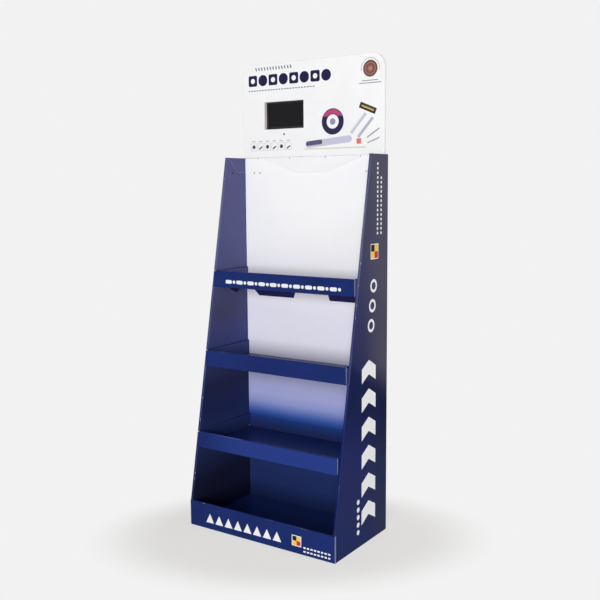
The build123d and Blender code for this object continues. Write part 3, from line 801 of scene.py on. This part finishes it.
def navy_crease(graph):
    """Folds of the navy trays: the lips' left corners scuffed white, and the lower lip rubbed."""
    coordinates, x, y, z = graph.place()
    behind_front = graph.subtract(y, graph.add(graph.multiply(z, LIP_LEAN), LIP_FRONT))
    lower_lip = graph.all_of(graph.below(y, LOWER_LIP_BACK), graph.between(z, LIPS_FROM, LOWER_LIP_TOP))
    stretch = graph.multiply(graph.slope(x, *RUB_STARTS), graph.slope(x, *RUB_ENDS))
    fold_wear, rub_share, band_share = 0.25, 0.34, 0.25
    worn = worn_fold(graph, NAVY, coordinates, fold_wear)
    worn = graph.mix(graph.multiply(graph.multiply(lower_lip, stretch), rub_share), worn, RUBBED_BLUE)
    on_lip = graph.all_of(graph.below(behind_front, LIP_SCUFF), graph.above(z, LIPS_FROM))
    corner = graph.all_of(on_lip, graph.below(x, LIP_LEFT_CORNER))
    band = graph.all_of(graph.between(x, *BAND_SCUFF), graph.below(z, BASE_TOP))
    worn = graph.mix(graph.any_of(corner, graph.multiply(band, band_share)), worn, WHITE_PRINT)
    return fold_surface(graph, coordinates, worn)


def raw_edge(graph, tone):
    """Cut edge of corrugated card in a tone, with darker gaps between the flutes as painted shade in their
    hollows.
    """
    coordinates, x, y, z = graph.place()
    along = graph.add(graph.add(x, y), graph.multiply(z, 0.97))
    wave = graph.sine(graph.multiply(along, 2 * math.pi / FLUTE_PITCH))
    fibre = graph.noise(coordinates, 700.0, 3.0)
    shade = graph.ramp(fibre, [(0.25, (238, 236, 232)), (0.6, (255, 255, 255))])
    gap = graph.slope(graph.add(wave, graph.multiply(fibre, 0.5)), 0.2, 1.1)
    # Painted shade in the flutes' hollows
    shade = graph.mix(graph.multiply(gap, 0.35), shade, (170, 166, 160))
    return {
        "Base Color": graph.mix(1.0, tone, shade, "MULTIPLY"),
        "Roughness": 0.9,
        "Normal": graph.bump(graph.subtract(fibre, gap), 0.0004),
    }


def wrap_edge(graph):
    """The wrap's cut edges: blue-grey, fainter on the flaps, painted shade in the punched hole and pale on
    the closure.
    """
    _, x, y, z = graph.place()
    reach = graph.absolute(x)
    flap = graph.all_of(graph.above(z, FLAP_ZONE), graph.below(reach, INNER_FACE))
    tone = graph.mix(flap, NAVY_SHEET_EDGE, FLAP_EDGE)
    tone = graph.mix(graph.disc(y, z, SIDE_HOLE, HOLE_EDGE_RADIUS), tone, HOLE_SHADE)
    return raw_edge(graph, graph.mix(graph.below(reach, CLOSURE_HALF), tone, RAW_EDGE))


def grey_board(graph):
    """Unprinted pale grey reverse of the card."""
    coordinates, _, _, _ = graph.place()
    fibre = graph.noise(graph.stretched(coordinates, (1.0, 1.0, 0.25)), 420.0, 4.0, 0.6)
    cloud = graph.noise(coordinates, 14.0, 3.0)
    paper = graph.ramp(fibre, [(0.3, (178, 170, 158)), (0.7, GREY_BOARD)])
    shade = graph.ramp(cloud, [(0.3, (232, 232, 232)), (0.7, (255, 255, 255))])
    flutes = graph.noise(graph.stretched(coordinates, UPRIGHT_FLUTES), 1.0, 1.0)
    return {
        "Base Color": graph.mix(1.0, paper, shade, "MULTIPLY"),
        "Roughness": 0.85,
        "Normal": graph.bump(graph.add(flutes, graph.multiply(fibre, 0.3)), 0.0003),
    }


def stained_board(graph, mask, tone):
    """The grey reverse with another tone where mask is set."""
    surface = grey_board(graph)
    surface["Base Color"] = graph.mix(mask, surface["Base Color"], tone)
    return surface


def wrap_reverse(graph):
    """The wrap's reverse, in deep shade where it is seen through the punched hole of a side wall."""
    _, _, y, z = graph.place()
    return stained_board(graph, graph.disc(y, z, SIDE_HOLE, HOLE_VIEW_RADIUS), HOLE_SHADE)


def tray_reverse(graph):
    """The trays' reverse, bluish near the cut ends, where the hollow lips show it."""
    _, x, _, _ = graph.place()
    return stained_board(graph, graph.above(graph.absolute(x), TRAY_END), TRAY_EDGE)


def lining_card(graph):
    """Beige card of the window's collar."""
    coordinates, _, _, _ = graph.place()
    fibre = graph.noise(coordinates, 500.0, 4.0, 0.6)
    paper = graph.ramp(fibre, [(0.3, (236, 222, 222)), (0.7, LINING_BEIGE)])
    return {"Base Color": paper, "Roughness": 0.85, "Normal": graph.bump(fibre, 0.0002)}


# Screen unit

def screen(graph):
    """Dark glass with a faintly lighter matte rim at its lower right."""
    coordinates, x, y, z = graph.place()
    low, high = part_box("lcd_panel")
    left, foot, right, top = 0.0065, 0.012, 0.013, 0.0075
    front_layer, corner = 0.0005, 0.001
    dust = graph.noise(coordinates, 260.0, 4.0, 0.7)
    glass = graph.ramp(dust, [(0.35, (17, 16, 20)), (0.75, (22, 21, 25))])
    lit_area = graph.patch(x, z, (low.x + left, low.z + foot), (high.x - right, high.z - top), corner)
    face = graph.all_of(graph.below(y, low.y + front_layer), lit_area)
    return {
        "Base Color": graph.mix(face, (38, 36, 40), glass),
        "Roughness": graph.add(graph.multiply(dust, 0.06), graph.subtract(0.42, graph.multiply(face, 0.32))),
        "Normal": graph.bump(dust, 0.00002),
    }


def moulded(graph, rgb, grain_scale=1400.0):
    """Fine moulded grain of dark plastic."""
    coordinates, _, _, _ = graph.place()
    grain = graph.noise(coordinates, grain_scale, 3.0, 0.6)
    cloud = graph.noise(coordinates, 24.0, 2.0)
    lighter = tuple(min(255, channel + 12) for channel in rgb)
    return {
        "Base Color": graph.ramp(cloud, [(0.3, rgb), (0.7, lighter)]),
        "Roughness": graph.add(graph.multiply(grain, 0.2), 0.42),
        "Normal": graph.bump(grain, 0.00012),
    }


def frosted_lens(graph):
    """Milky ribbed lens of the motion sensor."""
    coordinates, x, _, z = graph.place()
    low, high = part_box("motion_sensor")
    rib_pitch, lens_radius = 0.0009, 0.0045
    # Paler in a ring and darker at the rim: painted light and shade on the lens
    tones = [(0.0, (104, 100, 108)), (0.6, (124, 120, 128)), (1.0, (70, 68, 76))]
    reach = graph.distance(x, z, ((low.x + high.x) / 2, (low.z + high.z) / 2))
    return {
        "Base Color": graph.ramp(graph.divide(reach, lens_radius, clamp=True), tones),
        "Roughness": graph.add(graph.multiply(graph.noise(coordinates, 800.0), 0.1), 0.3),
        "Normal": graph.bump(graph.sine(graph.multiply(reach, 2 * math.pi / rib_pitch)), 0.0001),
    }


def solder_resist(graph):
    """Green board with paler tracks, dark chips and a metal socket."""
    coordinates, x, y, z = graph.place()
    low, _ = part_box("controller_board")
    chips_from = 0.0017
    tracks = graph.math("FRACT", graph.multiply(graph.add(x, graph.multiply(z, 0.5)), 420.0))
    green = graph.mix(graph.below(tracks, 0.3), (24, 74, 44), (38, 98, 60))
    chips = graph.above(y, low.y + chips_from)
    grain = graph.noise(coordinates, 900.0)
    return {
        "Base Color": graph.mix(chips, green, (32, 32, 35)),
        "Roughness": graph.add(graph.multiply(grain, 0.2), 0.35),
        "Normal": graph.bump(graph.add(tracks, grain), 0.00008),
    }


def battery_foil(graph):
    """Crinkled silver pouch with a tape band."""
    coordinates, x, _, _ = graph.place()
    crinkle = graph.noise(coordinates, 130.0, 5.0, 0.65)
    _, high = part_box("battery_pack")
    tape_width = 0.009
    tape = graph.above(x, high.x - tape_width)
    foil = graph.ramp(crinkle, [(0.3, (150, 152, 156)), (0.7, (188, 190, 194))])
    return {
        "Base Color": graph.mix(tape, foil, (196, 158, 62)),
        "Roughness": graph.add(graph.multiply(crinkle, 0.2), 0.25),
        "Normal": graph.bump(crinkle, 0.0004),
    }


# Sorting the faces of a folded sheet

PRINT_SLOT, CREASE_SLOT, RAW_SLOT, REVERSE_SLOT, FLOOR_SLOT, WALL_SLOT = range(6)
LEVEL = 0.99

# Steps in a metre, for comparing places
GRID = 1e5


def spread(faces, neighbours, joined):
    """Groups of faces, out of the given ones, that are joined to each other."""
    groups = []
    left = set(faces)
    while left:
        start = left.pop()
        group = []
        waiting = [start]
        while waiting:
            current = waiting.pop()
            group.append(current)
            for other in neighbours[current]:
                if other in left and joined(current, other):
                    left.remove(other)
                    waiting.append(other)
        groups.append(group)
    return groups


def face_neighbours(mesh):
    """For each face the others that share an edge, found by the corners' places."""
    places = [tuple(round(value * GRID) for value in vertex.co) for vertex in mesh.vertices]
    sharing = defaultdict(list)
    rings = []
    for polygon in mesh.polygons:
        ring = [places[index] for index in polygon.vertices]
        edges = [frozenset(pair) for pair in zip(ring, ring[1:] + ring[:1])]
        rings.append(edges)
        for edge in edges:
            sharing[edge].append(polygon.index)
    neighbours = defaultdict(set)
    for faces in sharing.values():
        for face in faces:
            neighbours[face].update(other for other in faces if other != face)
    return neighbours, rings


def strip_width(group, mesh, rings):
    """About how wide a group of faces is, from its area and the length of its rim."""
    area = sum(mesh.polygons[index].area for index in group)
    times = defaultdict(int)
    for index in group:
        for edge in rings[index]:
            times[edge] += 1
    rim = 0.0
    for edge, count in times.items():
        ends = list(edge)
        if count == 1 and len(ends) == 2:
            rim += (Vector(ends[0]) - Vector(ends[1])).length / GRID
    return 2 * area / rim if rim else 0.0


def sort_faces(node, is_print):
    """Gives each face of a card node its slot, out of those named above."""
    mesh = node.data
    neighbours, rings = face_neighbours(mesh)
    normals = [polygon.normal.copy() for polygon in mesh.polygons]

    def closer_than(limit):
        return lambda first, second: normals[first].angle(normals[second], math.pi) < limit

    for sheet_face in spread(range(len(normals)), neighbours, closer_than(SAME_SHEET_ANGLE)):
        if strip_width(sheet_face, mesh, rings) < RAW_EDGE_WIDTH:
            for index in sheet_face:
                mesh.polygons[index].material_index = RAW_SLOT
            continue
        printed = is_print(sheet_face, mesh)
        for flat in spread(sheet_face, neighbours, closer_than(SAME_PLANE_ANGLE)):
            leans = max(abs(part) for part in normals[flat[0]]) < FOLD_MIDDLE
            folded = leans and strip_width(flat, mesh, rings) < FOLD_FACET_WIDTH
            slot = REVERSE_SLOT if not printed else (CREASE_SLOT if folded else PRINT_SLOT)
            for index in flat:
                mesh.polygons[index].material_index = slot


def sort_tray_print(node):
    """Gives a tray's printed floors and side walls their own slots."""
    for polygon in node.data.polygons:
        if polygon.material_index != PRINT_SLOT:
            continue
        if polygon.normal.z > LEVEL:
            polygon.material_index = FLOOR_SLOT
        elif abs(polygon.normal.x) > LEVEL:
            polygon.material_index = WALL_SLOT


def holds_extreme(axis, sign):
    """A test for whether a group of faces has the node's outermost face along an axis."""

    def test(group, mesh):
        reaches = [sign * vertex.co[axis] for vertex in mesh.vertices]
        own = [reaches[corner] for index in group for corner in mesh.polygons[index].vertices]
        return max(own) > max(reaches) - 1 / GRID

    return test


def dress(node_name, materials):
    """Puts materials on a CAD node, one for each slot."""
    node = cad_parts[node_name]
    node.data.materials.clear()
    for material in materials:
        node.data.materials.append(material)
    return node


def direction(turn, rise):
    """The unit vector at a turn from the front towards the right, and a rise, both in degrees."""
    turn, rise = math.radians(turn), math.radians(rise)
    return Vector((math.sin(turn) * math.cos(rise), -math.cos(turn) * math.cos(rise), math.sin(rise)))


def make_camera():
    back = direction(CAMERA_YAW, CAMERA_PITCH)
    level_right = direction(CAMERA_YAW + 90, 0.0)
    level_up = back.cross(level_right)
    roll = math.radians(CAMERA_ROLL)
    right = level_right * math.cos(roll) + level_up * math.sin(roll)
    up = level_up * math.cos(roll) - level_right * math.sin(roll)
    data = bpy.data.cameras.new("camera")
    data.lens = CAMERA_LENS
    data.sensor_width = 36.0
    data.clip_end = 200.0
    camera = bpy.data.objects.new("camera", data)
    turn = Matrix((right, up, back)).transposed().to_4x4()
    camera.matrix_world = Matrix.Translation(CAMERA_PLACE) @ turn
    bpy.context.scene.collection.objects.link(camera)
    bpy.context.scene.camera = camera


# Light: a plain pale world, a large soft lamp in front and a weaker one for the right side.
# Each lamp has its turn towards the right, rise, distance, width, height and power.
WORLD_LIGHT = 0.20
LAMP_AIM = (0.0, 0.0, 0.85)
LAMPS = {
    "key": (23.0, 7.0, 12.0, 5.0, 4.2, 1135.0),
    "fill": (98.0, 6.0, 8.0, 2.4, 2.4, 160.0),
}

# Floor: shaded in a soft oval about the stand's foot, which also shows its shadow
FLOOR_HALF = 40.0
SHADE_CENTRE = (0.047, -0.059)
SHADE_TURN = 34.0
SHADE_HALF = (0.432, 0.284)
SHADE_FADE = (1.0, 1.69)
FLOOR_GLOW = (0.615, 0.608, 0.594, 1.0)
FLOOR_SHARE = (0.289, 0.289, 0.289, 1.0)
FLOOR_BOUNCE = (0.80, 0.80, 0.80, 1.0)


def make_world():
    world = bpy.data.worlds.new("studio")
    graph = empty_graph(world)
    light = graph.shader("Background", (1, 1, 1, 1), WORLD_LIGHT)
    shown = graph.shader("Background", BACKGROUND, 1.0)
    graph.shader("OutputWorld", graph.shader("MixShader", graph.shows_background(), light, shown))
    bpy.context.scene.world = world


def floor_material():
    """Pale floor that shows the background's colour and, in a soft oval about the stand's foot, painted shade
    that also shows the stand's real shadow.
    """
    material = bpy.data.materials.new("floor")
    graph = empty_graph(material)
    _, x, y, _ = graph.place()
    turned = graph.turned(x, y, SHADE_CENTRE, SHADE_TURN)
    shares = [graph.divide(part, half) for part, half in zip(turned, SHADE_HALF)]
    far = graph.slope(graph.length(shares), *SHADE_FADE)
    plain = graph.shader("Emission", BACKGROUND)
    glow = graph.shader("Emission", FLOOR_GLOW)
    near = graph.shader("AddShader", glow, graph.shader("BsdfDiffuse", FLOOR_SHARE))
    seen = graph.shader("MixShader", far, near, plain)
    bounce = graph.shader("BsdfDiffuse", FLOOR_BOUNCE)
    graph.shader("OutputMaterial", graph.shader("MixShader", graph.shows_background(), bounce, seen))
    return material


def make_floor():
    shape = bmesh.new()
    corners = [(-1, -1), (1, -1), (1, 1), (-1, 1)]
    shape.faces.new([shape.verts.new((x * FLOOR_HALF, y * FLOOR_HALF, 0.0)) for x, y in corners])
    mesh = bpy.data.meshes.new("floor")
    shape.to_mesh(mesh)
    shape.free()
    mesh.materials.append(floor_material())
    floor = bpy.data.objects.new("floor", mesh)
    bpy.context.scene.collection.objects.link(floor)


def make_lamps():
    for name, (turn, rise, distance, width, height, power) in LAMPS.items():
        out = direction(turn, rise)
        data = bpy.data.lights.new(name, "AREA")
        data.shape = "RECTANGLE"
        data.size = width
        data.size_y = height
        data.energy = power
        lamp = bpy.data.objects.new(name, data)
        lamp.location = Vector(LAMP_AIM) + out * distance
        lamp.rotation_euler = (-out).to_track_quat("-Z", "Y").to_euler()
        bpy.context.scene.collection.objects.link(lamp)
    bpy.context.scene.view_settings.view_transform = "Standard"


def edge_material(name, tone):
    return new_material(name, lambda graph: raw_edge(graph, tone), CARD_SHINE)


def tray_looks():
    """Each tray's looks: print, creases, cut edges, reverse, floor and walls."""
    crease = new_material("navy_crease", navy_crease, 0.0)
    reverse = new_material("tray_reverse", tray_reverse, CARD_SHINE)
    floor = new_material("shelf_floor_print_and_light", shelf_floor, FLOOR_SHINE)
    wall = new_material("tray_wall_print_and_shade", tray_wall, PRINT_SHINE)
    tray_edge = edge_material("tray_edge", TRAY_EDGE)
    band_edge = edge_material("band_edge", NAVY_SHEET_EDGE)
    looks = {}
    for tray, name, extra, edge in (
        ("lower_shelf_tray", "lower_tray_print_and_light", lower_lip_painted_light, tray_edge),
        ("middle_shelf_tray", "tray_print", None, tray_edge),
        ("top_shelf_tray", "top_tray_print_and_shade", top_lip_motifs_and_flap_shade, tray_edge),
        ("base_tray", "base_print", band_motifs, band_edge),
    ):
        tray_print = new_material(name, lambda graph: plain_navy(graph, extra), PRINT_SHINE)
        looks[tray] = (tray_print, crease, edge, reverse, floor, wall)
    return looks


def sheet_looks():
    """The other cards' looks: print, creases, cut edges and reverse."""
    edge = edge_material("pale_edge", RAW_EDGE)
    reverse = new_material("grey_board", grey_board, CARD_SHINE)
    return {
        "body_wrap": (
            new_material("wrap_print_and_sheen", wrap_print_and_sheen, WRAP_SHINE),
            new_material("wrap_crease", wrap_crease, WRAP_FOLD_SHINE),
            new_material("wrap_edge", wrap_edge, CARD_SHINE),
            new_material("wrap_reverse", wrap_reverse, CARD_SHINE),
        ),
        "back_liner": (
            new_material("liner_print_and_shadow", liner_print_and_shadow, PRINT_SHINE),
            crease_material("liner_crease", LINER_PRINT_AND_SHADOW_HEIGHTS, 0.3),
            edge,
            reverse,
        ),
        "header_card": (
            new_material("header_print", header_print, PRINT_SHINE),
            crease_material("white_crease", [(0.0, WHITE_PRINT), (1.0, WHITE_PRINT)], 0.3),
            edge,
            reverse,
        ),
    }


def dress_cards():
    """Gives the cards their looks: the wrap's print is outermost at the side, the others' in front."""
    for name, looks in {**sheet_looks(), **tray_looks()}.items():
        node = dress(name, looks)
        sort_faces(node, holds_extreme(0, -1) if name == "body_wrap" else holds_extreme(1, -1))
        if name.endswith("_tray"):
            sort_tray_print(node)


def dress_screen_unit():
    housing = new_material("housing", lambda graph: moulded(graph, (22, 22, 25)), 0.4)
    looks = {
        "window_lining": new_material("lining", lining_card, CARD_SHINE),
        "motion_sensor": new_material("frosted_lens", frosted_lens),
        "video_housing": housing,
        "video_back_cover": housing,
        "lcd_panel": new_material("screen", screen, 0.13),
        "controller_board": new_material("solder_resist", solder_resist),
        "battery_pack": new_material("battery_foil", battery_foil, metallic=0.6),
        "speaker": new_material("speaker_frame", lambda graph: moulded(graph, (34, 34, 36), 700.0)),
    }
    for name, material in looks.items():
        dress(name, (material,))


make_camera()
make_world()
make_floor()
make_lamps()
dress_cards()
dress_screen_unit()
